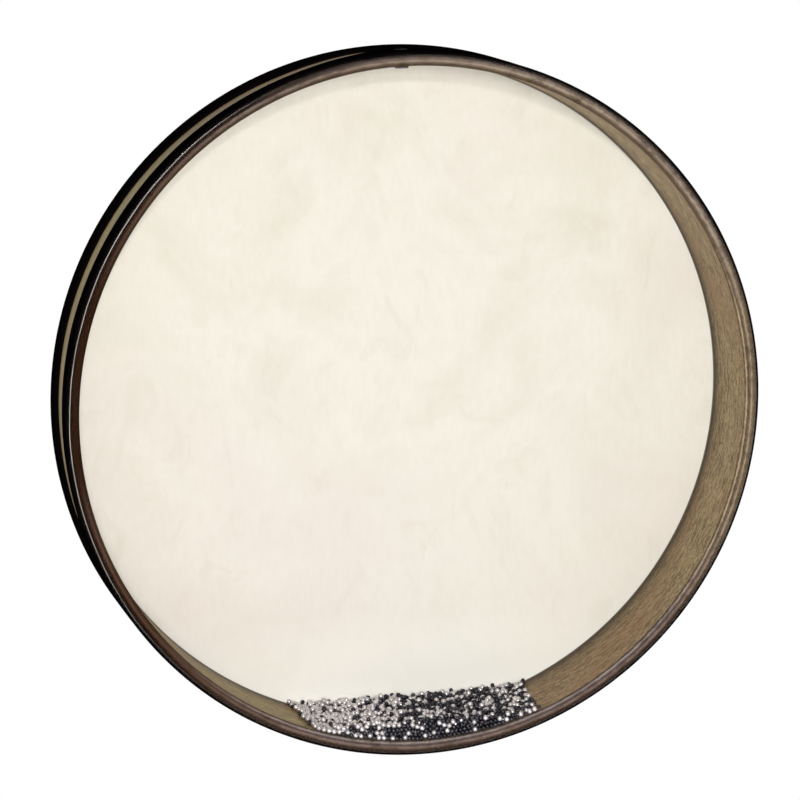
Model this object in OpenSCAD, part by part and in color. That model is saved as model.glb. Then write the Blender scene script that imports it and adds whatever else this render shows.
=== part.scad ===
// Ocean drum: a two-headed frame drum that holds a charge of loose steel balls.
// The drum stands upright on its rim. Its axis runs along Y, the clear head
// faces -Y and the skin head faces +Y. The origin is on the axis at mid-depth.

/* [Drum] */
// Outside diameter over the edge tape
drum_d = 508; // [380:1:600]
// Depth from the outer face of one head to the outer face of the other
drum_depth = 76.2; // [60:0.1:120]

/* [Shell] */
// Wall of the bent plywood hoop
shell_wall = 9; // [7:0.1:11]
// Rounding of the outer corner of the bearing edges
edge_round = 1.6; // [0.8:0.1:2]
// Width of the bevel that falls from the crest of the bearing edge to the bore
bevel_w = 4.7; // [2:0.1:5]
// Drop of that bevel
bevel_drop = 1.8; // [0.5:0.1:3]

/* [Heads] */
// Thickness of the clear film head
film_wall = 0.35; // [0.2:0.05:0.5]
// Thickness of the skin head
skin_wall = 0.5; // [0.3:0.05:1]

/* [Edge tape] */
// Thickness of the black tape over the collars
tape_wall = 0.6; // [0.4:0.05:1.2]
// Share of the drum's depth that the front tape covers beside a bare window
front_tape_share = 0.28; // [0.2:0.005:0.3]
// Share of the drum's depth that the rear tape covers beside a bare window
rear_tape_share = 0.455; // [0.3:0.005:0.55]
// How far the front tape runs past the end of the collar under it, beside a window
tape_overrun = 2; // [1:0.5:6]
// Angle round the hoop from the top of the drum to where the bare windows start
window_start = 7; // [6:0.5:20]
// Angle round the hoop that each bare window spans
window_span = 100; // [40:1:110]
// Gap between the tapes, and between the two ends of each
tape_seam = 0.4; // [0.2:0.1:1]

/* [Vent] */
// Bore of the vent eyelet
vent_bore_d = 5.6; // [4:0.1:6]
// Wall of the eyelet's barrel
vent_wall = 0.8; // [0.5:0.1:1]
// Diameter of the eyelet's outer flange
vent_flange_d = 12; // [11:0.1:14]
// Diameter of the eyelet's rolled inner rim
vent_rim_d = 10; // [9:0.1:11]
// Diameter of the spacer washer behind the rim
vent_washer_d = 9; // [8:0.1:11]
// Thickness of that washer
vent_washer_t = 2.2; // [1:0.1:4]

/* [Charge] */
// Diameter of the large bright balls
large_d = 3.8; // [3:0.1:5]
// Diameter of the small dark balls
small_d = 3; // [2:0.1:3.4]
// Depth of the heap at its middle, from the shell's bore to the top of the balls
heap_h = 16; // [14:0.5:24]
// Gap between neighbouring large balls of the top layer
large_gap = 0.2; // [0.1:0.05:0.5]
// Gap between neighbouring small balls of the front layer
small_gap = 0.1; // [0.05:0.05:0.3]
// Running clearance of the charge from the shell and the heads
run_gap = 0.3; // [0.2:0.05:0.6]

/* [Hidden] */

// One overrun serves every cut
cut = 1;

// Smoothness of the hoop, the vent and the balls
hoop_fn = 180;
vent_fn = 48;
ball_fn = 20;

// The shell lies between the two heads, and its wall inside the tapes
shell_r = drum_d / 2 - tape_wall - skin_wall;
bore_r = shell_r - shell_wall;
front_edge_y = -drum_depth / 2 + film_wall;
rear_edge_y = drum_depth / 2 - skin_wall;
shell_len = rear_edge_y - front_edge_y;

// Bare windows: one on each side of the hoop, between the tapes
window_front_y = (front_tape_share - 0.5) * drum_depth;
window_rear_y = (0.5 - rear_tape_share) * drum_depth;
window_w = window_rear_y - window_front_y;
window_half = drum_d / 2 * sin(window_span / 2);
window_azimuth = 90 - window_start - window_span / 2;
bare_y = (window_front_y + window_rear_y) / 2;

// The tapes meet at the middle of the windows, and both collars end short of them
front_tape_reach = drum_depth / 2 + bare_y - tape_seam / 2;
rear_tape_reach = drum_depth / 2 - bare_y - tape_seam / 2;
collar_len = front_tape_share * drum_depth - tape_overrun;

// The tape starts on the corner's arc, halfway round it, and stays below the head's face
tape_start_angle = 48;
// Azimuth of the seam where a tape's ends meet, from +X towards +Z
seam_azimuth = -45;

// Vent: the eyelet's flange sits on the shell in a hole of the tapes, at the top of the drum
vent_flange_t = 0.8;
vent_rim_t = 1.3;
vent_fit = 0.1;
vent_barrel_r = vent_bore_d / 2 + vent_wall;
vent_washer_top = sqrt(bore_r * bore_r - vent_washer_d * vent_washer_d / 4) - vent_fit;
vent_rim_top = vent_washer_top - vent_washer_t;
vent_flange_edge = 0.3;

// Charge: the heap's limits inside the drum
large_r = large_d / 2;
small_r = small_d / 2;
seat_gap = 0.05;
heap_r = bore_r - run_gap;
heap_top_z = -(bore_r - heap_h);
heap_front_y = front_edge_y + run_gap;
heap_rear_y = rear_edge_y - run_gap;
core_top_z = heap_top_z - large_d - seat_gap;
core_front_y = heap_front_y + large_d + seat_gap;
core_half_w = sqrt(heap_r * heap_r - core_top_z * core_top_z);

// Rows of a close-packed layer lie this share of the pitch apart
row_share = sqrt(3) / 2;

// Top layer: sites of large pitch, each with a large or a small ball
large_pitch = large_d + large_gap;
heap_half_share = 0.96;
layer_half_w = heap_half_share * sqrt(heap_r * heap_r - heap_top_z * heap_top_z);
layer_cols = 2 * floor(layer_half_w / large_pitch) + 1;
layer_rows = floor((heap_rear_y - heap_front_y - large_d) / (large_pitch * row_share)) + 1;
layer_seed = 11;
layer_pick = rands(0, 1, layer_cols * layer_rows, layer_seed);
// Share of the sites that hold a large ball, at the left end and at the right end
left_large_share = 0.9;
right_large_share = 0.45;

// Front layer: sites of small pitch against the clear head
small_pitch = small_d + small_gap;
face_top_z = core_top_z - seat_gap - large_r;
face_cols = 2 * floor(core_half_w / small_pitch) + 1;
face_rows = floor((heap_r + face_top_z) / (small_pitch * row_share)) + 1;
face_seed = 23;
face_pick = rands(0, 1, face_cols * (face_rows + 1), face_seed);
face_large_share = 0.45;
// A large ball can stand on every third site of every second row
face_col_step = 3;
face_row_step = 2;

// Radius across, height along the drum's axis above the plane of a bearing edge.
// The outline of the shell's rim, grown outwards by what lies over it
module rim_outline(grow) {
    translate([0, -shell_len])
        square([shell_r - edge_round, shell_len + grow]);
    translate([0, -shell_len])
        square([shell_r + grow, shell_len - edge_round]);
    translate([shell_r - edge_round, -edge_round])
        circle(r = edge_round + grow, $fn = vent_fn);
}

// A layer over the rim, from the thickness under it to its own outer face
module rim_layer(under, over, reach) {
    difference() {
        rim_outline(over);
        rim_outline(under);
        translate([-cut, -shell_len - cut])
            square([shell_r + over + 2 * cut, shell_len + cut - reach]);
    }
}

// The triangle that bevels the inside of a bearing edge, drawn from its plane down
module bevel_outline() {
    polygon([
        [bore_r - cut, cut],
        [bore_r + bevel_w, cut],
        [bore_r + bevel_w, 0],
        [bore_r, -bevel_drop],
        [bore_r - cut, -bevel_drop]
    ]);
}

// Turns a profile about the drum's axis, with its heights pointing out of the front
module on_front() {
    translate([0, front_edge_y, 0])
        rotate([90, 0, 0])
            rotate_extrude($fn = hoop_fn)
                children();
}

// The same, with its heights pointing out of the rear
module on_rear() {
    translate([0, rear_edge_y, 0])
        rotate([-90, 0, 0])
            rotate_extrude($fn = hoop_fn)
                children();
}

// Bent plywood hoop with a bearing edge at each end and the vent's hole at the top
module shell() {
    color([0.51, 0.44, 0.33])
        difference() {
            on_front()
                difference() {
                    rim_outline(0);
                    translate([-cut, -shell_len - cut])
                        square([bore_r + cut, shell_len + 2 * cut]);
                    bevel_outline();
                }
            on_rear() {
                bevel_outline();
                difference() {
                    translate([shell_r - edge_round, -edge_round])
                        square([edge_round + cut, edge_round + cut]);
                    translate([shell_r - edge_round, -edge_round])
                        circle(r = edge_round, $fn = vent_fn);
                }
            }
            translate([0, bare_y, bore_r - cut])
                cylinder(r = vent_barrel_r + vent_fit, h = shell_wall + 2 * cut, $fn = vent_fn);
        }
}

// Clear film stretched over the front bearing edge
module front_head() {
    color([0.93, 0.95, 0.96, 0.35])
        on_front()
            rim_layer(0, film_wall, collar_len);
}

// Skin stretched over the rear bearing edge
module rear_head() {
    color([0.93, 0.90, 0.83])
        on_rear()
            rim_layer(0, skin_wall, collar_len);
}

// Tape profile: it follows the corner's arc from its start angle and runs down the side
module tape_outline(head_wall, tape_reach) {
    reach = tape_reach - head_wall;
    far = edge_round + head_wall + tape_wall + cut;
    difference() {
        rim_layer(head_wall, head_wall + tape_wall, reach);
        square([shell_r - edge_round, far]);
        translate([shell_r - edge_round, -edge_round])
            rotate(tape_start_angle)
                square([far + cut, far + cut]);
    }
    translate([shell_r, -reach])
        square([head_wall, reach - collar_len]);
}

// The slit between a tape's two ends
module seam_slit() {
    rotate([0, -seam_azimuth, 0])
        translate([bore_r, -drum_depth, -tape_seam / 2])
            cube([drum_d / 2 - bore_r + cut, 2 * drum_depth, tape_seam]);
}

// A slot with round ends, cut outwards from the axis towards an azimuth
module bare_window(azimuth) {
    end_at = window_half - window_w / 2;
    rotate([0, -azimuth, 0])
        translate([0, bare_y, 0])
            rotate([0, 90, 0])
                linear_extrude(drum_d) {
                    square([2 * end_at, window_w], center = true);
                    translate([-end_at, 0])
                        circle(d = window_w, $fn = hoop_fn);
                    translate([end_at, 0])
                        circle(d = window_w, $fn = hoop_fn);
                }
}

// What both tapes leave free: the seam, the windows and the vent's flange
module tape_cuts() {
    seam_slit();
    bare_window(window_azimuth);
    bare_window(180 - window_azimuth);
    translate([0, bare_y, bore_r])
        cylinder(h = drum_d, d = vent_flange_d + 2 * tape_seam, $fn = vent_fn);
}

module front_tape() {
    color([0.05, 0.05, 0.05])
        difference() {
            on_front()
                tape_outline(film_wall, front_tape_reach);
            tape_cuts();
        }
}

module rear_tape() {
    color([0.05, 0.05, 0.05])
        difference() {
            on_rear()
                tape_outline(skin_wall, rear_tape_reach);
            tape_cuts();
        }
}

// Flanged tube with its inner end rolled out to a rim
module vent_eyelet() {
    color([0.25, 0.23, 0.25])
        translate([0, bare_y, 0])
            rotate_extrude($fn = vent_fn)
                difference() {
                    union() {
                        translate([0, vent_rim_top - vent_rim_t])
                            square([vent_barrel_r, shell_r + vent_flange_t - vent_rim_top + vent_rim_t]);
                        translate([0, shell_r])
                            polygon([
                                [0, 0],
                                [vent_flange_d / 2, 0],
                                [vent_flange_d / 2, vent_flange_edge],
                                [vent_barrel_r, vent_flange_t],
                                [0, vent_flange_t]
                            ]);
                        translate([0, vent_rim_top - vent_rim_t])
                            square([vent_rim_d / 2 - vent_rim_t / 2, vent_rim_t]);
                        translate([vent_rim_d / 2 - vent_rim_t / 2, vent_rim_top - vent_rim_t / 2])
                            circle(d = vent_rim_t, $fn = vent_fn);
                    }
                    translate([-cut, vent_rim_top - vent_rim_t - cut])
                        square([vent_bore_d / 2 + cut, drum_d / 2]);
                }
}

// Spacer washer that the eyelet's rim clamps against the shell's bore
module vent_washer() {
    color([0.12, 0.11, 0.12])
        translate([0, bare_y, vent_rim_top])
            difference() {
                cylinder(d = vent_washer_d, h = vent_washer_t, $fn = vent_fn);
                translate([0, 0, -cut])
                    cylinder(r = vent_barrel_r + vent_fit, h = vent_washer_t + 2 * cut, $fn = vent_fn);
            }
}

// The inside of the heap, behind and under the balls that show
module charge_core() {
    color([0.16, 0.16, 0.18])
        intersection() {
            translate([0, core_front_y, 0])
                rotate([-90, 0, 0])
                    cylinder(r = heap_r, h = heap_rear_y - core_front_y, $fn = hoop_fn);
            translate([-core_half_w - cut, core_front_y - cut, -heap_r - cut])
                cube([2 * (core_half_w + cut), drum_depth, core_top_z + heap_r + cut]);
        }
}

// Where a ball of radius r comes to rest at x: on the core, or on the shell's bore
function rest_z(x, r) =
    max(core_top_z + seat_gap + r, -sqrt(pow(heap_r - r, 2) - x * x));

function layer_x(i, j) =
    (i - (layer_cols - 1) / 2 + (j % 2) / 2 - 1 / 4) * large_pitch;

function layer_y(j) =
    heap_front_y + large_r + j * large_pitch * row_share;

function large_share_at(x) =
    left_large_share + (right_large_share - left_large_share) * (x + layer_half_w) / (2 * layer_half_w);

function holds_large(i, j) =
    layer_pick[i + j * layer_cols] < large_share_at(layer_x(i, j));

// The balls of one size in some rows of the top layer
module top_layer(first_row, last_row, large) {
    r = large ? large_r : small_r;
    for (j = [first_row : last_row], i = [0 : layer_cols - 1])
        if (holds_large(i, j) == large)
            translate([layer_x(i, j), layer_y(j), rest_z(layer_x(i, j), r)])
                sphere(r = r, $fn = ball_fn);
}

middle_row = floor(layer_rows / 2);

module large_balls_front() {
    color([0.78, 0.78, 0.76])
        top_layer(0, middle_row - 1, true);
}

module large_balls_rear() {
    color([0.78, 0.78, 0.76])
        top_layer(middle_row, layer_rows - 1, true);
}

module small_balls() {
    color([0.20, 0.21, 0.25])
        top_layer(0, layer_rows - 1, false);
}

function face_x(i, k) =
    (i - (face_cols - 1) / 2 + (k % 2) / 2) * small_pitch;

function face_z(k) =
    face_top_z - k * small_pitch * row_share;

// Whether a ball of radius r at a site of the front layer clears the shell
function face_fits(i, k, r) =
    norm([face_x(i, k), face_z(k)]) + r <= heap_r;

function face_large(i, k) =
    i >= 0 && i < face_cols && k >= 0 && k < face_rows
    && i % face_col_step == 0 && k % face_row_step == 0
    && face_pick[i + k * face_cols] < face_large_share
    && face_fits(i, k, large_r);

function beside_large(i, k) =
    k % 2 == 0
    ? face_large(i - 1, k) || face_large(i, k) || face_large(i + 1, k)
    : face_large(i, k - 1) || face_large(i + 1, k - 1)
        || face_large(i, k + 1) || face_large(i + 1, k + 1);

module face_large_balls() {
    color([0.78, 0.78, 0.76])
        for (k = [0 : face_rows - 1], i = [0 : face_cols - 1])
            if (face_large(i, k))
                translate([face_x(i, k), heap_front_y + large_r, face_z(k)])
                    sphere(r = large_r, $fn = ball_fn);
}

module face_small_balls() {
    color([0.20, 0.21, 0.25])
        for (k = [0 : face_rows - 1], i = [0 : face_cols - 1])
            if (!beside_large(i, k) && face_fits(i, k, small_r))
                translate([face_x(i, k), heap_front_y + small_r, face_z(k)])
                    sphere(r = small_r, $fn = ball_fn);
}

shell();
front_head();
rear_head();
front_tape();
rear_tape();
vent_eyelet();
vent_washer();
charge_core();
large_balls_front();
large_balls_rear();
small_balls();
face_large_balls();
face_small_balls();
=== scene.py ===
"""The looks of the ocean drum: finely turned hoop, heads and tapes, and a heap of loose balls."""

import math

import bmesh
import bpy
import numpy as np
from mathutils import Matrix, Vector


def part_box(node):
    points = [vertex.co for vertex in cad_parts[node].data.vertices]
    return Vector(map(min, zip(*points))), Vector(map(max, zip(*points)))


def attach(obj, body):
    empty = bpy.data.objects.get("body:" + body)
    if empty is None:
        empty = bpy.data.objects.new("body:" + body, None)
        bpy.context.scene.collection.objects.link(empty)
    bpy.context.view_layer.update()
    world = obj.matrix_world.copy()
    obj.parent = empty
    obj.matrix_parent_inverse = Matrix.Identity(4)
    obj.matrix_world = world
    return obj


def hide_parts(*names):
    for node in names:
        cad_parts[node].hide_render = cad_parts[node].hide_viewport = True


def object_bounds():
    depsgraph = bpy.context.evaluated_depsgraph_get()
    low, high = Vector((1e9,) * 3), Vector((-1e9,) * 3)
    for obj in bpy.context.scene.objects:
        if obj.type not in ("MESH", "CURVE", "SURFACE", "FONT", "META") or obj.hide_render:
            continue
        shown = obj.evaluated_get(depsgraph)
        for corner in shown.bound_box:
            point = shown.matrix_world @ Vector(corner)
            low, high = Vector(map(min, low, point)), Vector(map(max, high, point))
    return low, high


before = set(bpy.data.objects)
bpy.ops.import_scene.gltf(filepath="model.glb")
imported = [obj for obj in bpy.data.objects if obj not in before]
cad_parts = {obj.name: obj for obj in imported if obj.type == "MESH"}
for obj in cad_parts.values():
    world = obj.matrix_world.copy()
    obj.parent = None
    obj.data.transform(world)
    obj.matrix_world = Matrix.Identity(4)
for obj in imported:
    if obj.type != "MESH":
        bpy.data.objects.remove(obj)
cad_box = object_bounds()

MM = 0.001


# Sizes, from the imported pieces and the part's own dimensions

def low(node):
    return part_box(node)[0]


def high(node):
    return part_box(node)[1]


# The sign of y on the way out of each head
FRONT = -1
REAR = 1

FRONT_Y = low("front_head").y
REAR_Y = high("rear_head").y
FILM_WALL = 0.35 * MM
SKIN_WALL = 0.5 * MM
TAPE_WALL = 0.6 * MM
FRONT_EDGE_Y = FRONT_Y + FILM_WALL
REAR_EDGE_Y = REAR_Y - SKIN_WALL
COLLAR_LEN = high("front_head").y - FRONT_Y - FILM_WALL
SHELL_R = round(high("shell").x / MM, 1) * MM
HOOP_WALL = 9.0 * MM
BORE_R = SHELL_R - HOOP_WALL
VENT_Y = (low("vent_eyelet").y + high("vent_eyelet").y) / 2
VENT_BORE_R = 3.7 * MM

# Bearing edges: a bevel that rises from the bore to the crest, and a rounded outer corner
BEVEL_W = 4.7 * MM
BEVEL_DROP = 1.8 * MM
BEVEL_FOOT_ROUND = 1.2 * MM
CREST_ROUND = 0.9 * MM
CREST_DROP = 0.35 * MM
EDGE_ROUND = 1.6 * MM
EDGE_DEPTH = 5 * MM

# Fineness of the meshes
TURNS = 384
TAPE_TURNS = 1536
CORNER_STEPS = 12
TAPE_CORNER_STEPS = 8
FILLET_STEPS = 6
DRILL_SIDES = 48
SHARP_ANGLE = math.radians(50)


# Camera: where the photograph was taken from, against the front head's centre

VIEW_AZIMUTH = math.radians(-13.597)
VIEW_ELEVATION = math.radians(9.684)
VIEW_ROLL = math.radians(1.35)
VIEW_DISTANCE = 2.7
VIEW_FAR = 100
FOCAL_PX = 3791.5
FRAME_PX = 800.0
SENSOR_MM = 36.0
CENTRE_PX = (419.8, 408.8)


def towards(azimuth, elevation):
    """The way out to a camera or lamp. Azimuth 0 is straight in front, and 90 degrees the right."""
    level = math.cos(elevation)
    return Vector((math.sin(azimuth) * level, -math.cos(azimuth) * level, math.sin(elevation)))


def view_axes():
    """Right, up and back of the camera, turned about the drum's axis by the roll."""
    back = towards(VIEW_AZIMUTH, VIEW_ELEVATION)
    right = (-back).cross(Vector((0, 0, 1))).normalized()
    up = right.cross(-back)
    turn = Matrix.Rotation(VIEW_ROLL, 3, "Y")
    return turn @ right, turn @ up, turn @ back


def make_camera():
    """Puts the front head's centre at CENTRE_PX by aiming a little beside it."""
    right, up, back = view_axes()
    m_per_px = VIEW_DISTANCE / FOCAL_PX
    aside = (FRAME_PX / 2 - CENTRE_PX[0]) * m_per_px
    above = (CENTRE_PX[1] - FRAME_PX / 2) * m_per_px
    aim = Vector((0, FRONT_Y, 0)) + right * aside + up * above
    place = Vector((0, FRONT_Y, 0)) + back * VIEW_DISTANCE
    new_back = (place - aim).normalized()
    new_right = up.cross(new_back).normalized()
    new_up = new_back.cross(new_right)
    data = bpy.data.cameras.new("camera")
    data.sensor_width = SENSOR_MM
    data.lens = FOCAL_PX / FRAME_PX * SENSOR_MM
    data.clip_end = VIEW_FAR
    cam = bpy.data.objects.new("camera", data)
    axes = Matrix((new_right, new_up, new_back)).transposed().to_4x4()
    cam.matrix_world = Matrix.Translation(place) @ axes
    bpy.context.scene.collection.objects.link(cam)
    bpy.context.scene.camera = cam


# Node helpers

# Sockets of the Mix node that hold its factor and its colours
MIX_FACTOR, MIX_A, MIX_B, MIX_RESULT = 0, 6, 7, 2


def srgb(r, g, b):
    """A colour written as 0 to 255 in the usual picture scale."""
    def linear(v):
        v /= 255
        return v / 12.92 if v <= 0.04045 else ((v + 0.055) / 1.055) ** 2.4
    return (linear(r), linear(g), linear(b), 1.0)


class Tree:
    """An emptied node tree, and short calls that add to it."""

    def __init__(self, tree):
        self.tree = tree
        self.tree.nodes.clear()

    def add(self, kind, inputs=None, **settings):
        """A new node. An input is another node's output, or a value."""
        made = self.tree.nodes.new("ShaderNode" + kind)
        for key, value in settings.items():
            setattr(made, key, value)
        for key, value in (inputs or {}).items():
            if isinstance(value, bpy.types.NodeSocket):
                self.tree.links.new(value, made.inputs[key])
            else:
                made.inputs[key].default_value = value
        return made

    def calculate(self, how, a, b):
        return self.add("Math", {0: a, 1: b}, operation=how).outputs["Value"]

    def times(self, a, b):
        return self.calculate("MULTIPLY", a, b)

    def plus(self, a, b):
        return self.calculate("ADD", a, b)

    def larger(self, a, b):
        return self.calculate("MAXIMUM", a, b)

    def grey(self, fac, a, b, low_stop=0.0, high_stop=1.0):
        """A number that runs from a to b as fac runs between the stops."""
        made = self.add("MapRange", {
            "Value": fac, "From Min": low_stop, "From Max": high_stop, "To Min": a, "To Max": b,
        })
        return made.outputs["Result"]

    def rise(self, fac, low_stop, high_stop, top=1.0):
        """0 below the stops and top above them."""
        return self.grey(fac, 0.0, top, low_stop, high_stop)

    def fall(self, fac, low_stop, high_stop, top=1.0):
        """top below the stops and 0 above them."""
        return self.grey(fac, top, 0.0, low_stop, high_stop)


class Nodes(Tree):
    """The node tree of one material. Its lengths are in metres, in the drum's frame."""

    def __init__(self, name):
        self.material = bpy.data.materials.new(name)
        self.material.use_nodes = True
        super().__init__(self.material.node_tree)
        self.out = self.add("OutputMaterial")

    def noise(self, scale, detail=3.0, rough=0.5, distortion=0.0):
        """Noise with scale waves per metre along each axis."""
        coords = self.add("TexCoord").outputs["Object"]
        stretched = self.add("Mapping", {"Vector": coords, "Scale": scale}).outputs["Vector"]
        made = self.add("TexNoise", {
            "Vector": stretched, "Scale": 1.0, "Detail": detail,
            "Roughness": rough, "Distortion": distortion,
        })
        return made.outputs["Fac"]

    def even_noise(self, scale, **settings):
        """Noise that is the same along all three axes."""
        return self.noise((scale, scale, scale), **settings)

    def ramp(self, fac, stops):
        """Colours by fac. Each stop is a place and a colour of 0 to 255."""
        made = self.add("ValToRGB", {"Fac": fac})
        ramp = made.color_ramp
        while len(ramp.elements) < len(stops):
            ramp.elements.new(0.5)
        for element, (where, colour) in zip(ramp.elements, stops):
            element.position = where
            element.color = srgb(*colour)
        return made.outputs["Color"]

    def mix(self, fac, a, b, how="MIX"):
        made = self.add(
            "Mix", {MIX_FACTOR: fac, MIX_A: a, MIX_B: b}, data_type="RGBA", blend_type=how,
        )
        return made.outputs[MIX_RESULT]

    def tint(self, fac, colour, by):
        """The colour multiplied by another one where fac is 1."""
        return self.mix(fac, colour, (*by, 1.0), "MULTIPLY")

    def split(self):
        """The three object coordinates."""
        coords = self.add("TexCoord").outputs["Object"]
        return self.add("SeparateXYZ", {0: coords}).outputs

    def radius(self):
        """Distance from the drum's axis."""
        where = self.split()
        flat = self.add("CombineXYZ", {0: where["X"], 1: where["Z"]}).outputs["Vector"]
        return self.add("VectorMath", {0: flat}, operation="LENGTH").outputs["Value"]

    def bump(self, height, strength, distance):
        inputs = {"Height": height, "Strength": strength, "Distance": distance}
        return self.add("Bump", inputs).outputs["Normal"]

    def surface(self, **inputs):
        """Ends the tree in a Principled shader."""
        named = {key.replace("_", " "): value for key, value in inputs.items()}
        made = self.add("BsdfPrincipled", named)
        self.tree.links.new(made.outputs["BSDF"], self.out.inputs["Surface"])
        return self.material


# Materials

# Keeps the metals from turning white where they are seen at a low angle
METAL_GLANCE = (0.1, 0.1, 0.11, 1)


def plywood():
    """Brown-stained wood with its grain running round the hoop, pale outside, and painted shade at the
    left, at the top outside and towards the rear corner.
    """
    n = Nodes("plywood")
    streaks = n.noise((90, 420, 90), detail=6, rough=0.75, distortion=0.5)
    fine = n.noise((220, 1100, 220), detail=4, rough=0.7)
    specks = n.noise((600, 800, 600), detail=2)
    broad = n.noise((10, 20, 10), detail=3)
    colour = n.ramp(streaks, [
        (0.34, (84, 62, 36)), (0.46, (146, 123, 84)), (0.55, (206, 183, 136)), (0.66, (132, 107, 70)),
    ])
    colour = n.mix(n.rise(fine, 0.46, 0.62, 0.75), colour, srgb(88, 68, 42))
    colour = n.mix(n.rise(specks, 0.54, 0.68, 0.75), colour, srgb(66, 48, 31))
    colour = n.mix(n.rise(broad, 0.45, 0.66, 0.45), colour, srgb(154, 116, 80))
    where = n.split()
    low_right = n.times(n.fall(where["Z"], -0.22, -0.1), n.rise(where["X"], -0.02, 0.06))
    colour = n.tint(low_right, colour, (0.87, 0.79, 0.77))
    # Painted shade: the wall's left side darker and yellower
    left = n.fall(where["X"], -0.12, -0.02)
    colour = n.tint(left, colour, (0.88, 0.88, 0.54))
    outside = n.rise(n.radius(), SHELL_R - 3 * MM, SHELL_R - 1 * MM)
    colour = n.mix(n.times(outside, 0.45), colour, srgb(196, 176, 122))
    # Painted shade: the outer wall darker near the top
    outside_top_shade = n.times(outside, n.rise(where["Z"], 0.16, 0.215))
    colour = n.tint(outside_top_shade, colour, (0.58, 0.48, 0.44))
    # Painted shade: darker towards the rear, and darkest in the corner at the skin
    colour = n.mix(n.rise(where["Y"], 0.006, 0.025, 0.40), colour, srgb(64, 47, 20))
    colour = n.mix(n.rise(where["Y"], 0.025, 0.0355, 0.92), colour, srgb(42, 29, 8))
    return n.surface(
        Base_Color=colour,
        Roughness=n.grey(fine, 0.42, 0.60),
        Specular_IOR_Level=0.2,
        Normal=n.bump(n.mix(0.5, streaks, fine), 0.5, 0.5 * MM),
    )


def edge_wood():
    """The stained bearing edges, with painted highlight lines on the crest and inner corner, and
    painted shade at the left, the upper left and below.
    """
    n = Nodes("edge_wood")
    across = n.grey(n.radius(), 0.0, 1.0, BORE_R, SHELL_R)
    wander = n.even_noise(24, detail=3)
    jitter = n.even_noise(420, detail=2)
    for shift in (n.grey(wander, -0.03, 0.03), n.grey(jitter, -0.03, 0.03, 0.3, 0.7)):
        across = n.plus(across, shift)
    fine = n.noise((90, 380, 90), detail=5, rough=0.72)
    broad = n.even_noise(11, detail=3)
    # Painted light by side: the right, top and under ramps paint highlight lines on the inner corner
    # and the crest, and shade on the outer round. The left ramps paint the left side in shade
    right = n.ramp(across, [
        (0.00, (98, 82, 62)), (0.08, (152, 134, 108)), (0.14, (190, 172, 142)),
        (0.22, (106, 89, 68)), (0.33, (104, 88, 70)), (0.42, (130, 112, 92)),
        (0.51, (172, 152, 128)), (0.60, (128, 110, 88)), (0.74, (108, 91, 72)),
        (0.86, (94, 80, 65)), (0.96, (44, 36, 29)),
    ])
    top = n.ramp(across, [
        (0.00, (108, 92, 74)), (0.10, (90, 74, 60)), (0.20, (104, 88, 73)),
        (0.33, (152, 135, 116)), (0.42, (174, 157, 140)), (0.52, (138, 122, 108)),
        (0.64, (126, 112, 102)), (0.73, (82, 69, 62)), (0.79, (24, 17, 14)),
        (0.92, (12, 8, 7)),
    ])
    under = n.ramp(across, [
        (0.00, (62, 54, 52)), (0.07, (104, 94, 91)), (0.15, (162, 149, 144)),
        (0.23, (118, 103, 99)), (0.33, (80, 66, 62)), (0.44, (128, 111, 104)),
        (0.53, (122, 104, 94)), (0.64, (80, 62, 52)), (0.76, (46, 33, 26)),
        (0.88, (40, 30, 25)), (0.97, (30, 22, 19)),
    ])
    left = n.ramp(across, [
        (0.00, (34, 18, 9)), (0.35, (46, 24, 9)), (0.60, (34, 16, 4)), (0.90, (12, 7, 4)),
    ])
    left_ends = n.ramp(across, [
        (0.00, (60, 46, 36)), (0.20, (72, 54, 42)), (0.34, (100, 78, 66)),
        (0.46, (72, 51, 40)), (0.57, (38, 22, 14)), (0.90, (14, 8, 6)),
    ])
    where = n.split()
    upper = n.rise(where["Z"], 0.05, 0.12)
    colour = n.mix(upper, right, top)
    colour = n.mix(n.fall(where["Z"], -0.17, -0.09), colour, under)
    # Painted shade: the outer half dark at the upper left, and the top darker towards the left
    outer_half = n.times(n.rise(across, 0.46, 0.6), n.fall(where["X"], -0.12, -0.03))
    colour = n.mix(n.times(outer_half, upper), colour, srgb(26, 16, 11))
    painted_top_shade = n.times(upper, n.fall(where["X"], -0.1, 0.1))
    colour = n.tint(painted_top_shade, colour, (0.55, 0.52, 0.55))
    colour = n.mix(n.rise(fine, 0.45, 0.66, 0.65), colour, srgb(56, 41, 30))
    # Painted shade over the left side of the edge, with a ragged border
    above = n.rise(where["Z"], 0.09, 0.17)
    below = n.fall(where["Z"], -0.09, -0.03)
    dark = n.mix(n.larger(above, below), left, left_ends)
    side = n.fall(where["X"], -0.205, -0.115, 1.1)
    rough_side = n.plus(side, n.grey(broad, -0.12, 0.12))
    colour = n.mix(n.rise(rough_side, 0.0, 1.0), colour, dark)
    # Painted shade: darker and redder at the lower left
    low_left = n.times(n.fall(where["X"], -0.17, -0.07), n.fall(where["Z"], -0.12, -0.06))
    colour = n.tint(low_left, colour, (0.78, 0.66, 0.56))
    return n.surface(
        Base_Color=colour,
        Roughness=n.grey(fine, 0.5, 0.62),
        Specular_IOR_Level=0.02,
        Normal=n.bump(fine, 0.3, 0.3 * MM),
    )


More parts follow.
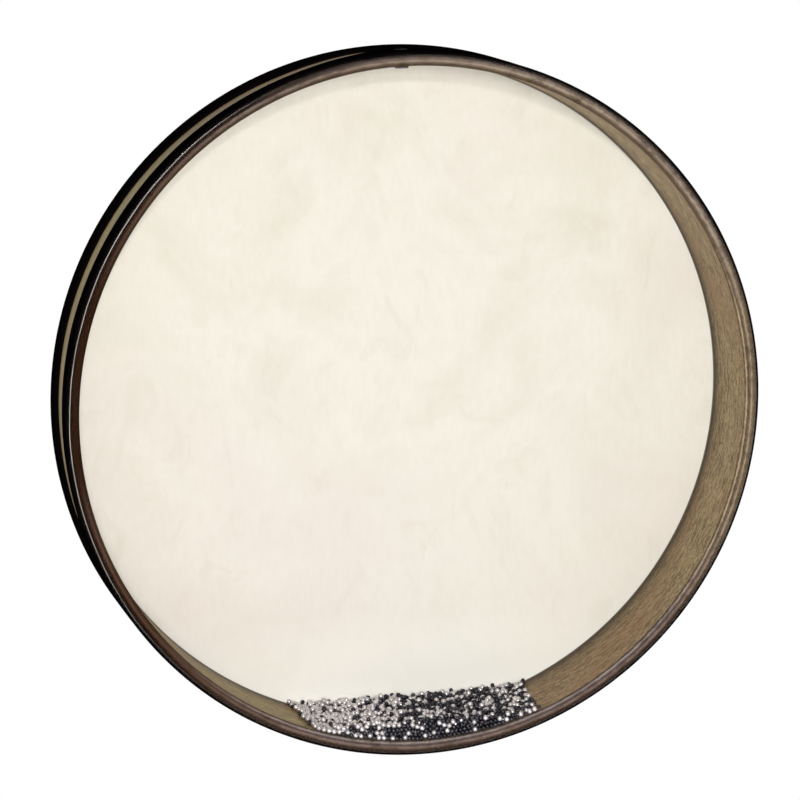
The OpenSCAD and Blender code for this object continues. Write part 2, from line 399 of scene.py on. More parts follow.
def skin():
    """Cream skin, cloudy and faintly pink, painted lighter near the bottom, with a dark line inside
    where it leaves the bore and painted shade along it at the top.
    """
    n = Nodes("skin")
    clouds = n.even_noise(9, detail=6, rough=0.62, distortion=0.5)
    blush = n.even_noise(5, detail=3)
    veins = n.noise((34, 34, 20), detail=4, rough=0.6, distortion=1.2)
    fibres = n.noise((260, 260, 90), detail=4, rough=0.65)
    colour = n.ramp(clouds, [(0.30, (233, 228, 215)), (0.48, (242, 238, 228)), (0.66, (236, 231, 220))])
    colour = n.mix(n.rise(blush, 0.5, 0.7, 0.5), colour, srgb(244, 233, 229))
    colour = n.mix(n.rise(veins, 0.55, 0.75, 0.35), colour, srgb(222, 216, 200))
    colour = n.mix(n.rise(fibres, 0.3, 0.7, 0.12), colour, srgb(214, 204, 184))
    where = n.split()
    radius = n.radius()
    # Painted light: paler near the bottom, over the heap
    colour = n.mix(n.fall(where["Z"], -0.225, -0.16, 0.85), colour, srgb(254, 252, 244))
    # A thin dark line where the skin leaves the bore, and a wider band of painted shade along it at the
    # top
    wide = n.rise(radius, BORE_R - 1.4 * MM, BORE_R - 0.4 * MM, 0.9)
    painted_shade_at_top = n.times(wide, n.rise(where["Z"], 0.13, 0.17))
    thin = n.rise(radius, BORE_R - 0.6 * MM, BORE_R - 0.45 * MM, 0.95)
    inner_side = n.fall(where["Y"], REAR_EDGE_Y + 0.1 * MM, REAR_EDGE_Y + 0.3 * MM)
    joint_and_shade = n.times(n.larger(painted_shade_at_top, thin), inner_side)
    colour = n.mix(joint_and_shade, colour, srgb(88, 71, 50))
    return n.surface(
        Base_Color=colour,
        Roughness=n.grey(fibres, 0.60, 0.80),
        Specular_IOR_Level=0.25,
        Normal=n.bump(fibres, 0.15, 0.3 * MM),
    )


def painted_glint_share(n, most):
    """A painted highlight: a thin pale line in the film's bend, strongest at the left, with a ragged
    edge and uneven strength.
    """
    wander = n.grey(n.even_noise(24, detail=3), -0.25 * MM, 0.25 * MM, 0.35, 0.65)
    reach = n.plus(n.radius(), wander)
    starts = n.rise(reach, SHELL_R - 1.95 * MM, SHELL_R - 1.85 * MM)
    ends = n.fall(reach, SHELL_R - 1.6 * MM, SHELL_R - 1.5 * MM)
    where = n.split()
    side = n.grey(where["X"], 1.0, 0.05, -0.25, -0.11)
    height = n.grey(where["Z"], 0.15, 1.0, -0.15, -0.05)
    uneven = n.grey(n.even_noise(60, detail=3), 0.55, 1.0, 0.35, 0.6)
    return n.times(n.times(starts, ends), n.times(n.times(side, height), n.times(uneven, most)))


def film(name, gloss_share, roughness, painted_glint_strength=0.0):
    """Clear film: what lies behind shows, under some gloss. A bend in it can carry a painted highlight,
    a pale diffuse line.
    """
    n = Nodes(name)
    fresnel = n.add("Fresnel", {"IOR": 1.5}).outputs["Fac"]
    body = n.add("BsdfTransparent", {"Color": (0.985, 0.985, 0.98, 1)}).outputs["BSDF"]
    if painted_glint_strength:
        # The painted highlight: a pale diffuse line in the bend
        matt = n.add("BsdfDiffuse", {"Color": srgb(214, 206, 196)}).outputs["BSDF"]
        mixed = n.add("MixShader", {0: painted_glint_share(n, painted_glint_strength), 1: body, 2: matt})
        body = mixed.outputs["Shader"]
    gloss = n.add("BsdfGlossy", {"Color": (1, 1, 1, 1), "Roughness": roughness}).outputs["BSDF"]
    both = n.add("MixShader", {0: n.times(fresnel, gloss_share), 1: body, 2: gloss})
    n.tree.links.new(both.outputs["Shader"], n.out.inputs["Surface"])
    return n.material


def black_tape():
    n = Nodes("black_tape")
    grain = n.even_noise(900, detail=2)
    wear = n.noise((40, 160, 40), detail=3)
    return n.surface(
        Base_Color=n.ramp(wear, [(0.35, (7, 5, 6)), (0.7, (16, 12, 13))]),
        Roughness=n.grey(wear, 0.5, 0.65),
        Specular_IOR_Level=0.0,
        Normal=n.bump(grain, 0.15, 0.1 * MM),
    )


def dark_metal():
    """The eyelet's burnished metal, painted paler at its inner end as a highlight."""
    n = Nodes("dark_metal")
    wear = n.even_noise(500, detail=2)
    colour = n.ramp(wear, [(0.4, (42, 38, 44)), (0.7, (70, 63, 70))])
    # Painted highlight: paler at the inner end
    painted_highlight_end = n.fall(n.split()["Z"], BORE_R, BORE_R + 2 * MM)
    return n.surface(
        Base_Color=n.mix(painted_highlight_end, colour, srgb(126, 116, 124)),
        Metallic=0.9,
        Roughness=n.grey(wear, 0.4, 0.55),
        Specular_Tint=METAL_GLANCE,
    )


def black_rubber():
    n = Nodes("black_rubber")
    grain = n.even_noise(700, detail=2)
    return n.surface(
        Base_Color=n.ramp(grain, [(0.4, (24, 22, 24)), (0.7, (40, 36, 38))]),
        Roughness=n.grey(grain, 0.6, 0.8),
        Normal=n.bump(grain, 0.2, 0.1 * MM),
    )


def steel(name, scale, tones, metallic, roughness):
    """Steel for the balls. Its tone and polish vary a little from ball to ball."""
    n = Nodes(name)
    tone = n.even_noise(scale, detail=1)
    return n.surface(
        Base_Color=n.ramp(tone, [(0.35, tones[0]), (0.65, tones[1])]),
        Metallic=metallic,
        Roughness=n.grey(tone, *roughness),
        Specular_Tint=METAL_GLANCE,
    )


def bright_steel():
    return steel("bright_steel", 230, [(206, 199, 202), (242, 237, 239)], 0.65, (0.2, 0.3))


def dark_steel():
    return steel("dark_steel", 260, [(50, 49, 54), (82, 80, 88)], 0.85, (0.28, 0.38))


# Meshes

def new_piece(name, points, faces, materials, face_materials=None):
    mesh = bpy.data.meshes.new(name)
    mesh.from_pydata([tuple(p) for p in points], [], [tuple(f) for f in faces])
    for material in materials:
        mesh.materials.append(material)
    if face_materials is not None:
        mesh.polygons.foreach_set("material_index", np.asarray(face_materials, np.int32))
    mesh.polygons.foreach_set("use_smooth", np.ones(len(mesh.polygons), bool))
    mesh.update()
    piece = bpy.data.objects.new(name, mesh)
    bpy.context.scene.collection.objects.link(piece)
    return piece


def finish_solid(piece):
    """Turns the faces so that they look out of the closed mesh, and marks its sharp edges."""
    bm = bmesh.new()
    bm.from_mesh(piece.data)
    bmesh.ops.recalc_face_normals(bm, faces=bm.faces)
    bm.to_mesh(piece.data)
    bm.free()
    piece.data.set_sharp_from_angle(angle=SHARP_ANGLE)


def bands(rings, count, joined, closed=True):
    """Faces between rings of count points. joined spans the last ring and the first one too."""
    faces = []
    for t in range(rings if joined else rings - 1):
        here = t * count
        there = (t + 1) % rings * count
        for k in range(count if closed else count - 1):
            m = (k + 1) % count
            faces.append((here + k, there + k, there + m, here + m))
    return faces


def swept(rings, count):
    """Faces of a solid that is swept through rings of count points, with both its ends."""
    last = (rings - 1) * count
    ends = [range(count)[::-1], range(last, last + count)]
    return bands(rings, count, joined=False) + ends


def arc(centre, radius, start, end, steps):
    """Points of an arc in the (r, y) plane. Angle 0 points outwards, 90 degrees to the rear."""
    angles = np.linspace(start, end, steps + 1)
    return [(centre[0] + radius * math.cos(a), centre[1] + radius * math.sin(a)) for a in angles]


def turned(name, profile, materials, kinds, closed=True):
    """A profile of (r, y) points turned about the drum's axis. kinds picks each span's material."""
    ring = np.array(profile, float)
    count = len(ring)
    angles = np.linspace(0, 2 * math.pi, TURNS, endpoint=False)
    points = np.stack([
        np.outer(np.cos(angles), ring[:, 0]),
        np.broadcast_to(ring[:, 1], (len(angles), count)),
        np.outer(np.sin(angles), ring[:, 0]),
    ], axis=-1).reshape(-1, 3)
    faces = bands(TURNS, count, joined=True, closed=closed)
    return new_piece(name, points, faces, materials, kinds * TURNS)


# The hoop

WALL_KIND = 0
EDGE_KIND = 1
DRILL_LEN = 20 * MM


def filleted(corners):
    """A line through corners given as (r, y, radius), with each inner corner rounded."""
    points = [corners[0][:2]]
    for before, here, after in zip(corners, corners[1:], corners[2:]):
        at = np.array(here[:2])
        back = np.array(before[:2]) - at
        on = np.array(after[:2]) - at
        back /= np.linalg.norm(back)
        on /= np.linalg.norm(on)
        half = math.acos(np.clip(back @ on, -1, 1)) / 2
        middle = (back + on) / np.linalg.norm(back + on)
        centre = at + middle * here[2] / math.sin(half)
        start = at + back * here[2] / math.tan(half) - centre
        finish = at + on * here[2] / math.tan(half) - centre
        for share in np.linspace(0, 1, FILLET_STEPS + 1):
            ray = start * (1 - share) + finish * share
            points.append(tuple(centre + ray / np.linalg.norm(ray) * here[2]))
    return points + [corners[-1][:2]]


def bearing_edge(edge_y, out):
    """Profile of one bearing edge from the bore to the outer wall. out is the sign of y outwards."""
    deep = edge_y - out * EDGE_DEPTH
    return filleted([
        (BORE_R, deep, 0),
        (BORE_R, edge_y - out * BEVEL_DROP, BEVEL_FOOT_ROUND),
        (BORE_R + BEVEL_W, edge_y, CREST_ROUND),
        (SHELL_R, edge_y - out * CREST_DROP, EDGE_ROUND),
        (SHELL_R, deep, 0),
    ])


def make_shell():
    """The hoop. Its walls are plywood, and the worked part of each bearing edge has its own looks."""
    front = bearing_edge(FRONT_EDGE_Y, FRONT)
    rear = bearing_edge(REAR_EDGE_Y, REAR)[::-1]
    worked = len(front) - 3
    edge_kinds = [WALL_KIND] + [EDGE_KIND] * worked + [WALL_KIND]
    kinds = edge_kinds + [WALL_KIND] + edge_kinds + [WALL_KIND]
    shell = turned("plywood_hoop", front + rear, [plywood(), edge_wood()], kinds)
    finish_solid(shell)
    cut_vent_hole(shell)
    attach(shell, "drum")
    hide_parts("shell")


def cut_vent_hole(shell):
    """Bores the vent's hole through the top of the hoop."""
    tool_mesh = bpy.data.meshes.new("vent_drill")
    bm = bmesh.new()
    bmesh.ops.create_cone(
        bm, cap_ends=True, segments=DRILL_SIDES, radius1=VENT_BORE_R, radius2=VENT_BORE_R,
        depth=DRILL_LEN, matrix=Matrix.Translation((0, VENT_Y, SHELL_R - HOOP_WALL / 2)),
    )
    bm.to_mesh(tool_mesh)
    bm.free()
    tool = bpy.data.objects.new("vent_drill", tool_mesh)
    bpy.context.scene.collection.objects.link(tool)
    drill = shell.modifiers.new("vent", "BOOLEAN")
    drill.operation = "DIFFERENCE"
    drill.solver = "EXACT"
    drill.object = tool
    apply_modifiers(shell)
    bpy.data.objects.remove(tool)


def apply_modifiers(piece):
    graph = bpy.context.evaluated_depsgraph_get()
    mesh = bpy.data.meshes.new_from_object(piece.evaluated_get(graph), depsgraph=graph)
    piece.modifiers.clear()
    piece.data = mesh


# The heads

# The flat of a head has rings of points at these shares of the hoop's radius, and it ends
# RIM_BAND from the hoop's outside. All that lies further out is the rim
FLAT_RINGS = (0.25, 0.5, 0.75, 0.9, 0.97)
RIM_BAND = 2.4 * MM
RIM_TOLERANCE = 0.1 * MM


def rim_path(edge_y, out, grow, reach):
    """Outer face of a layer over the rim, from the flat round the corner and down the side."""
    centre = (SHELL_R - EDGE_ROUND, edge_y - out * EDGE_ROUND)
    path = arc(centre, EDGE_ROUND + grow, out * math.pi / 2, 0, CORNER_STEPS)
    return path + [(SHELL_R + grow, edge_y - out * reach)]


def head_profile(edge_y, out, wall):
    """A disc and its collar, closed, starting and ending near the axis."""
    over = rim_path(edge_y, out, wall, COLLAR_LEN)
    under = rim_path(edge_y, out, 0.0, COLLAR_LEN)
    radii = [share * SHELL_R for share in FLAT_RINGS] + [SHELL_R - RIM_BAND]
    inner = [(r, edge_y) for r in radii]
    outer = [(r, edge_y + out * wall) for r in radii]
    return outer + over + under[::-1] + inner[::-1]


def make_head(name, edge_y, out, wall, materials, node):
    """Turns a head's profile and closes it at the axis. The last material covers the rim."""
    profile = head_profile(edge_y, out, wall)
    flat_r = SHELL_R - RIM_BAND - RIM_TOLERANCE
    rim = len(materials) - 1
    kinds = [rim if min(a[0], b[0]) > flat_r else 0 for a, b in zip(profile, profile[1:])]
    head = turned(name, profile, materials, kinds, closed=False)
    bm = bmesh.new()
    bm.from_mesh(head.data)
    count = len(profile)
    for k in (0, count - 1):
        bm.verts.ensure_lookup_table()
        ring = [bm.verts[t * count + k] for t in range(TURNS)]
        hub = bm.verts.new((0, ring[0].co.y, 0))
        for t in range(TURNS):
            bm.faces.new((ring[t], ring[(t + 1) % TURNS], hub)).smooth = True
    bm.to_mesh(head.data)
    bm.free()
    finish_solid(head)
    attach(head, "drum")
    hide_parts(node)


# The tapes

# A tape starts on the rim's corner, this far round from the side. Its two ends meet in a slit
TAPE_START = math.radians(48)
SEAM_AZIMUTH = math.radians(-45)
SEAM_WIDTH = 0.2 * MM
TAPE_NIB = 0.12 * MM
TAPE_CLEAR = 0.02 * MM

# Each bare window starts this far off the top, at the left and at the right, and spans this much
WINDOW_START = math.radians(4.9)
WINDOW_SPAN = math.radians(102.1)

# As in the photograph: y in mm of the windows' long edges and of the line where the tapes meet,
# by azimuth in degrees from +X over the top to the left
WINDOW_EDGES = {
    FRONT: {
        92: -8.0, 98: -12.0, 108: -18.0, 118: -17.8, 136: -16.4, 166: -16.4, 175: -18.3,
        190: -21.2, 200: -22.5,
    },
    REAR: {
        92: 6.0, 98: 3.4, 108: 0.6, 120: 4.6, 136: 7.6, 166: 7.2, 175: 3.2, 190: -3.2,
        200: -7.0,
    },
}
MEET_LINE = {
    90: 1.5, 97: 1.0, 110: -4.5, 136: -6.0, 166: -6.5, 180: -10.0, 197: -15.8, 225: -8.0,
    270: -6.7,
}
SMOOTH_DEGREES = 13

# Also in mm: half the gap between the tapes, and the tapes' hole for the vent's flange
MEET_GAP = 0.15
VENT_HOLE_R = 6.4

# The higher this power, the blunter the windows' ends
WINDOW_SQUARENESS = 24

# Unevenness of the windows' edges: waves round the hoop, and their heights in mm
EDGE_WAVES = ((9, 0.25), (14, 0.2), (23, 0.15), (41, 0.1))
EDGE_SEEDS = {FRONT: 3, REAR: 4}


def looked_up(table, at):
    """The value between the entries of a table."""
    return np.interp(at, list(table), list(table.values()))


def along(table, degrees):
    """A smooth value at an azimuth, the same at the left and the right."""
    degrees = np.where(degrees < 90, 180 - degrees, degrees)
    fine = np.arange(60.0, 301.0)
    weights = np.hanning(SMOOTH_DEGREES)[1:-1]
    line = np.pad(looked_up(table, fine), len(weights) // 2, "edge")
    soft = np.convolve(line, weights / weights.sum(), "valid")
    return np.interp(degrees, fine, soft)


def tape_far_y(angles, out):
    """The far edge of a tape at each angle: round the bare windows and the vent's flange."""
    degrees = (np.degrees(angles) + 90) % 360 - 90
    middle = 90 - math.degrees(WINDOW_START + WINDOW_SPAN / 2)
    away = np.minimum(abs(degrees - middle), abs(degrees - (180 - middle)))
    share = np.clip(away / math.degrees(WINDOW_SPAN / 2), 0, 1)
    swell = np.sqrt(1 - share ** WINDOW_SQUARENESS)
    far = along(MEET_LINE, degrees) + out * MEET_GAP
    far += np.where(share < 1, (along(WINDOW_EDGES[out], degrees) - far) * swell, 0)
    draw = np.random.default_rng(EDGE_SEEDS[out])
    for waves, size in EDGE_WAVES:
        far += size * np.sin(waves * angles + draw.uniform(0, 2 * math.pi)) * (share < 1)
    aside = abs(degrees - 90) / 180 * math.pi * SHELL_R / MM
    hole = np.sqrt(np.maximum(VENT_HOLE_R ** 2 - aside ** 2, 0))
    return np.where(aside < VENT_HOLE_R, VENT_Y / MM + out * (hole + MEET_GAP), far) * MM


def tape_profile(edge_y, out, head_wall, far_y):
    """Section of a tape over a head's collar, and on the bare hoop where the collar ends."""
    under = head_wall
    over = head_wall + TAPE_WALL
    centre = (SHELL_R - EDGE_ROUND, edge_y - out * EDGE_ROUND)
    outer = arc(centre, EDGE_ROUND + over, out * TAPE_START, 0, TAPE_CORNER_STEPS)
    inner = arc(centre, EDGE_ROUND + under, 0, out * TAPE_START, TAPE_CORNER_STEPS)
    collar_end = edge_y - out * COLLAR_LEN
    side = SHELL_R + over
    foot = SHELL_R + TAPE_CLEAR
    end = [
        (side, far_y + out * TAPE_NIB), (side - TAPE_NIB, far_y), (foot, far_y),
        (foot, far_y + out * TAPE_NIB), (SHELL_R + under, collar_end),
    ]
    return outer + end + inner


def make_tape(name, edge_y, out, head_wall, node):
    """A black ring of tape. Its far edge follows the windows, and a slit parts its two ends."""
    count = len(tape_profile(edge_y, out, head_wall, 0.0))
    first = SEAM_AZIMUTH + SEAM_WIDTH / 2 / SHELL_R
    angles = np.linspace(first, first + 2 * math.pi - SEAM_WIDTH / SHELL_R, TAPE_TURNS + 1)
    points = []
    for angle, far_y in zip(angles, tape_far_y(angles, out)):
        ring = tape_profile(edge_y, out, head_wall, far_y)
        points += [(r * math.cos(angle), y, r * math.sin(angle)) for r, y in ring]
    tape = new_piece(name, points, swept(TAPE_TURNS + 1, count), [black_tape()])
    finish_solid(tape)
    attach(tape, "drum")
    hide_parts(node)


# The heap of balls, with its lengths in mm

LARGE_R = 1.9
SMALL_R = 1.5
BALL_DETAIL = 3
BALLS_PER_PIECE = 600

# The space that the balls have: the heap clears the hoop and the heads by RUN_GAP, and only its
# front and top layers are separate balls, over a core
RUN_GAP = 0.3
HEAP_TOP = -227.9
HEAP_HALF = 92.0
FRONT_LAYER = 7.0
TOP_LAYER = 6.5
HEAP_BORE = BORE_R / MM - RUN_GAP
HEAP_FRONT = FRONT_EDGE_Y / MM + RUN_GAP
HEAP_REAR = REAR_EDGE_Y / MM - RUN_GAP
CORE_FRONT = HEAP_FRONT + FRONT_LAYER
CORE_TOP = HEAP_TOP - TOP_LAYER
CORE_STEPS = 60

# The heap's surface: its rise at the left and right ends, its slope to the rear, and its humps
HEAP_RISE = (2.2, 2.8)
HEAP_TILT = 0.022
SURFACE_SLACK = 1.2
HUMP_SIZE = 1.5
HUMP_COUNT = 16
HUMP_WAVE = (7, 17)

# The share of large balls, from the heap's left end (0) to its right one (1)
TOP_LARGE = {0.0: 0.96, 0.03: 0.97, 0.25: 0.9, 0.42: 0.52, 0.6: 0.38, 0.8: 0.5, 1.0: 0.6}
FACE_LARGE = {0.0: 0.97, 0.12: 0.78, 0.25: 0.30, 0.45: 0.13, 0.7: 0.09, 1.0: 0.16}
INSIDE_CUT = {0.04: 1.0, 0.25: 0.25}

# Below the surface the top's share gives way to the face's, and behind the face to the inside's
BELOW_START = 0.5
BELOW_SPAN = 3.0
BEHIND_START = 4
BEHIND_SPAN = 2

# The settling: balls with ROOM round them are scattered, lifted, let down and pushed apart
HEAP_SEED = 5
HEAP_TRIES = 400_000
HEAP_MARGIN = 3
HEADROOM = 6
HEAP_FILL = 0.585
ROOM = 0.08
LIFT = 0.35
HEAP_STEPS = 420
PAIR_STEPS = 8
PAIR_REACH = 0.9
PUSH = 0.42


def pairs_near(places, reach):
    """Index pairs of the places that lie within reach of each other, by a grid of cells."""
    cells = np.floor((places - places.min(0) + reach) / reach).astype(np.int64)
    size = cells.max(0) + 3
    keys = (cells[:, 0] * size[1] + cells[:, 1]) * size[2] + cells[:, 2]
    order = np.argsort(keys, kind="stable")
    ranked = keys[order]
    first, second = [], []
    steps = [(i, j, k) for i in (-1, 0, 1) for j in (-1, 0, 1) for k in (-1, 0, 1)]
    for step in [s for s in steps if s >= (0, 0, 0)]:
        wanted = keys + (step[0] * size[1] + step[1]) * size[2] + step[2]
        start = np.searchsorted(ranked, wanted, "left")
        count = np.searchsorted(ranked, wanted, "right") - start
        a = np.repeat(np.arange(len(places)), count)
        within = np.arange(count.sum()) - np.repeat(np.cumsum(count) - count, count)
        b = order[np.repeat(start, count) + within]
        if step == (0, 0, 0):
            a, b = a[a < b], b[a < b]
        first.append(a)
        second.append(b)
    a, b = np.concatenate(first), np.concatenate(second)
    near = ((places[a] - places[b]) ** 2).sum(1) < reach * reach
    return a[near], b[near]


def off_middle(x):
    """0 at the heap's middle and 1 at its ends."""
    return np.minimum(abs(x) / HEAP_HALF, 1)


def top_z(x, y):
    """The heap's surface: a little higher at the rear, and where it meets the hoop."""
    rise = np.where(x < 0, HEAP_RISE[0], HEAP_RISE[1])
    return HEAP_TOP + HEAP_TILT * (y - FRONT_EDGE_Y / MM) + rise * off_middle(x) ** 4


def humps(x, y):
    """Unevenness of the heap's surface."""
    draw = np.random.default_rng(HEAP_SEED + 1)
    total = np.zeros(len(x))
    for _ in range(HUMP_COUNT):
        turn = draw.uniform(0, math.pi)
        wave = draw.uniform(*HUMP_WAVE)
        start = draw.uniform(0, 2 * math.pi)
        total += np.sin((x * math.cos(turn) + y * math.sin(turn)) * 2 * math.pi / wave + start)
    return HUMP_SIZE * total / math.sqrt(HUMP_COUNT) * (1 - off_middle(x) ** 3)


def large_share(x, y, z):
    """How many of the balls are large at a place in the heap."""
    across = (x + HEAP_HALF) / (2 * HEAP_HALF)
    top = looked_up(TOP_LARGE, across)
    face = looked_up(FACE_LARGE, across)
    below = np.clip((top_z(x, y) - z - BELOW_START) / BELOW_SPAN, 0, 1)
    behind = np.clip((y - FRONT_EDGE_Y / MM - BEHIND_START) / BEHIND_SPAN, 0, 1)
    inside = face * looked_up(INSIDE_CUT, across)
    return top * (1 - below) + (face * (1 - behind) + inside * behind) * below


def scattered_balls():
    """Places at random for the front and top layers, which overlap, and the balls' radii."""
    draw = np.random.default_rng(HEAP_SEED)
    half = HEAP_HALF + HEAP_MARGIN
    spots = np.stack([
        draw.uniform(-half, half, HEAP_TRIES),
        draw.uniform(HEAP_FRONT, HEAP_REAR, HEAP_TRIES),
        draw.uniform(-HEAP_BORE, HEAP_TOP + HEADROOM, HEAP_TRIES),
    ], axis=1)
    free = np.hypot(spots[:, 0], spots[:, 2]) < HEAP_BORE
    free &= (spots[:, 1] < CORE_FRONT) | (spots[:, 2] > CORE_TOP)
    height = HEAP_BORE + HEAP_TOP + HEADROOM
    volume = free.mean() * 2 * half * (HEAP_REAR - HEAP_FRONT) * height
    spots = spots[free]
    large = draw.uniform(size=len(spots)) < large_share(*spots.T)
    sizes = np.where(large, LARGE_R, SMALL_R) + ROOM
    count = np.searchsorted(np.cumsum(sizes ** 3) * 4 / 3 * math.pi, HEAP_FILL * volume)
    return spots[:count].copy(), sizes[:count]


def sink(done):
    """How far the balls are let down in a step: fast at first, then slowly, then not at all."""
    if done < 0.6:
        return 0.10
    if done < 0.85:
        return 0.02
    return 0.0


def push_apart(places, sizes, pairs):
    """Moves each two balls that overlap apart, both by the share PUSH of the overlap."""
    a, b = pairs
    apart = places[a] - places[b]
    length = np.sqrt((apart ** 2).sum(1)) + 1e-9
    over = sizes[a] + sizes[b] - length
    hit = over > 0
    push = (PUSH * over[hit] / length[hit])[:, None] * apart[hit]
    for axis in range(3):
        places[:, axis] += np.bincount(a[hit], push[:, axis], len(places))
        places[:, axis] -= np.bincount(b[hit], push[:, axis], len(places))


def keep_inside(places, sizes):
    """Moves balls back into the hoop, between the heads and out of the core."""
    reach = np.hypot(places[:, 0], places[:, 2])
    inwards = np.minimum(1, (HEAP_BORE - sizes) / reach)
    places[:, 0] *= inwards
    places[:, 2] *= inwards
    places[:, 1] = np.clip(places[:, 1], HEAP_FRONT + sizes, HEAP_REAR - sizes)
    deep_y = places[:, 1] - (CORE_FRONT - sizes)
    deep_z = CORE_TOP + sizes - places[:, 2]
    inside = (deep_y > 0) & (deep_z > 0)
    by_y = inside & (deep_y < deep_z)
    by_z = inside & ~by_y
    places[by_y, 1] -= deep_y[by_y]
    places[by_z, 2] += deep_z[by_z]


def settled_heap():
    """Places and radii of the balls in the heap's front and top layers."""
    places, sizes = scattered_balls()
    places[:, 2] += (places[:, 2] + HEAP_BORE) * LIFT
    for step in range(HEAP_STEPS):
        if step % PAIR_STEPS == 0:
            pairs = pairs_near(places, 2 * LARGE_R + PAIR_REACH)
        places[:, 2] -= sink(step / HEAP_STEPS)
        for _ in range(2):
            push_apart(places, sizes, pairs)
            keep_inside(places, sizes)
    x, y, z = places.T
    keep = z + sizes < top_z(x, y) + SURFACE_SLACK + humps(x, y)
    return places[keep], sizes[keep] - ROOM


def ball_template():
    bm = bmesh.new()
    bmesh.ops.create_icosphere(bm, subdivisions=BALL_DETAIL, radius=1)
    points = np.array([v.co[:] for v in bm.verts])
    faces = np.array([[v.index for v in f.verts] for f in bm.faces])
    bm.free()
    return points, faces


def ball_piece(name, places, sizes, material, nodes):
    """One piece that holds many separate balls."""
    unit, faces = ball_template()
    points = (places[:, None, :] + unit[None] * sizes[:, None, None]).reshape(-1, 3) * MM
    shift = np.arange(len(places))[:, None, None] * len(unit)
    corners = (faces[None] + shift).reshape(-1, 3)
    mesh = bpy.data.meshes.new(name)
    mesh.vertices.add(len(points))
    mesh.vertices.foreach_set("co", points.ravel())
    mesh.loops.add(corners.size)
    mesh.loops.foreach_set("vertex_index", corners.ravel().astype(np.int32))
    mesh.polygons.add(len(corners))
    mesh.polygons.foreach_set("loop_start", np.arange(0, corners.size, 3, dtype=np.int32))
    mesh.update(calc_edges=True)
    mesh.polygons.foreach_set("use_smooth", np.ones(len(corners), bool))
    mesh.materials.append(material)
    mesh.validate()
    piece = bpy.data.objects.new(name, mesh)
    bpy.context.scene.collection.objects.link(piece)
    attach(piece, "charge")
    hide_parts(*nodes)


def make_heap():
    """The bright large balls and the dark small ones, in pieces from the front to the rear."""
    places, sizes = settled_heap()
    large = sizes > (LARGE_R + SMALL_R) / 2
    for kind, chosen, material, slot, nodes in (
        ("bright_balls", large, bright_steel(), "bright_steel",
         ["large_balls_front", "large_balls_rear", "face_large_balls"]),
        ("dark_balls", ~large, dark_steel(), "dark_steel", ["small_balls", "face_small_balls"]),
    ):
        order = np.argsort(places[chosen][:, 1])
        spots, radii = places[chosen][order], sizes[chosen][order]
        parts = math.ceil(len(spots) / BALLS_PER_PIECE)
        for part, rows in enumerate(np.array_split(np.arange(len(spots)), parts)):
            ball_piece(f"{kind}_{part + 1}", spots[rows], radii[rows], material, nodes)


def make_core():
    """The dark inside of the heap, just under the layers of separate balls."""
    half = math.acos(-CORE_TOP / HEAP_BORE)
    angles = np.linspace(-half, half, CORE_STEPS + 1) - math.pi / 2
    low_arc = [(HEAP_BORE * math.cos(a), HEAP_BORE * math.sin(a)) for a in angles]
    high_line = [(x, CORE_TOP) for x, z in low_arc[1:-1]]
    outline = low_arc + high_line[::-1]
    points = [(x * MM, y * MM, z * MM) for y in (CORE_FRONT, HEAP_REAR) for x, z in outline]
    core = new_piece("heap_core", points, swept(2, len(outline)), [dark_steel()])
    finish_solid(core)
    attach(core, "charge")
    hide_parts("charge_core")


# The vent: its turned pieces keep their CAD shape and get their finish

def dress_node(name, material):
    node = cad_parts[name]
    node.data.materials.clear()
    node.data.materials.append(material)


# The studio: floor, white surroundings and lamps

WORLD_FILL = 0.24
WARM_WHITE = (1.0, 0.99, 0.97, 1)
PURE_WHITE = (1, 1, 1, 1)
FLOOR_DROP = 0.6
FLOOR_HALF = 6.0


def make_world():
    """White to the eye. Gloss sees it white too, but for a dark side at the right and dimmer top."""
    world = bpy.data.worlds.new("studio")
    world.use_nodes = True
    bpy.context.scene.world = world
    n = Tree(world.node_tree)
    path = n.add("LightPath").outputs
    way = n.add("SeparateXYZ", {0: n.add("TexCoord").outputs["Generated"]}).outputs
    side = n.grey(way["X"], 1.0, 0.05, 0.35, 0.65)
    top = n.grey(way["Z"], 1.0, 0.45, 0.35, 0.65)
    behind = n.rise(way["Y"], 0.0, 0.3)
    gloss = n.grey(behind, n.times(side, top), 1.0)
    seen = n.larger(path["Is Camera Ray"], path["Is Transmission Ray"])
    plain = n.add("Background", {"Color": WARM_WHITE, "Strength": WORLD_FILL})
    mirrored = n.add("Background", {"Color": WARM_WHITE, "Strength": gloss})
    white = n.add("Background", {"Color": PURE_WHITE, "Strength": 1.0})
    lit = n.add("MixShader", {0: path["Is Glossy Ray"], 1: plain.outputs[0], 2: mirrored.outputs[0]})
    both = n.add("MixShader", {0: seen, 1: lit.outputs[0], 2: white.outputs[0]})
    n.add("OutputWorld", {"Surface": both.outputs[0]})


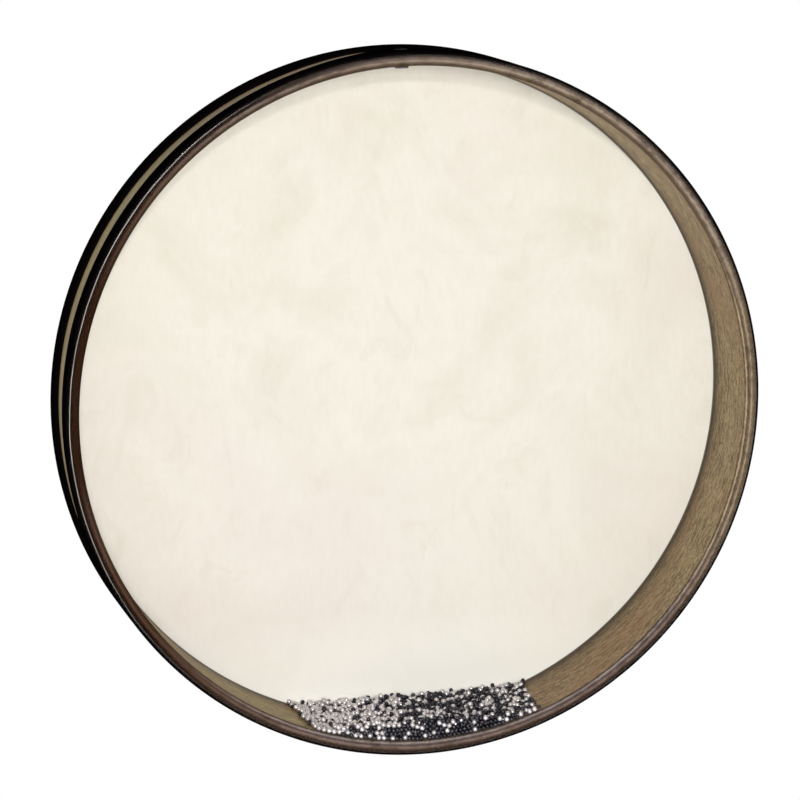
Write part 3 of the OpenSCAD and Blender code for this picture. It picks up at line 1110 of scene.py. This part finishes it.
def make_floor():
    """A pale floor under the drum. It is pure white to the eye, like the backdrop."""
    z = cad_box[0].z - FLOOR_DROP
    points = [(x, y, z) for x, y in (
        (-FLOOR_HALF, -FLOOR_HALF), (FLOOR_HALF, -FLOOR_HALF),
        (FLOOR_HALF, FLOOR_HALF), (-FLOOR_HALF, FLOOR_HALF),
    )]
    n = Nodes("floor_white")
    path = n.add("LightPath").outputs
    glow = n.add("Emission", {"Color": PURE_WHITE, "Strength": 1.0}).outputs["Emission"]
    matt = n.add("BsdfDiffuse", {"Color": (0.8, 0.8, 0.8, 1)}).outputs["BSDF"]
    seen = n.larger(path["Is Camera Ray"], path["Is Glossy Ray"])
    both = n.add("MixShader", {0: seen, 1: matt, 2: glow}).outputs["Shader"]
    n.tree.links.new(both, n.out.inputs["Surface"])
    floor = new_piece("floor", points, [(0, 1, 2, 3)], [n.material])


def area_lamp(name, azimuth, elevation, distance, size, power, spread=180):
    """A soft lamp that looks at the drum's centre. Its angles are in degrees."""
    back = towards(math.radians(azimuth), math.radians(elevation))
    data = bpy.data.lights.new(name, "AREA")
    data.energy = power
    data.size = size
    data.spread = math.radians(spread)
    lamp = bpy.data.objects.new(name, data)
    lamp.location = back * distance
    lamp.rotation_euler = (-back).to_track_quat("-Z", "Y").to_euler()
    lamp.visible_camera = False
    bpy.context.scene.collection.objects.link(lamp)


make_camera()
make_shell()
clear = [
    film("clear_film", gloss_share=0.05, roughness=0.05),
    film("film_rim", gloss_share=0.15, roughness=0.12, painted_glint_strength=0.95),
]
make_head("clear_head", FRONT_EDGE_Y, FRONT, FILM_WALL, clear, "front_head")
make_head("skin_head", REAR_EDGE_Y, REAR, SKIN_WALL, [skin()], "rear_head")
make_tape("front_edge_tape", FRONT_EDGE_Y, FRONT, FILM_WALL, "front_tape")
make_tape("rear_edge_tape", REAR_EDGE_Y, REAR, SKIN_WALL, "rear_tape")
dress_node("vent_eyelet", dark_metal())
dress_node("vent_washer", black_rubber())
make_heap()
make_core()
make_floor()
make_world()
area_lamp("key", azimuth=-9, elevation=17, distance=3.2, size=0.13, power=17)
area_lamp("front_soft", azimuth=-8, elevation=7, distance=3.4, size=0.8, power=72)
area_lamp("back_soft", azimuth=172, elevation=-4, distance=3.4, size=0.8, power=2.0, spread=24)

bpy.context.scene.view_settings.view_transform = "Standard"
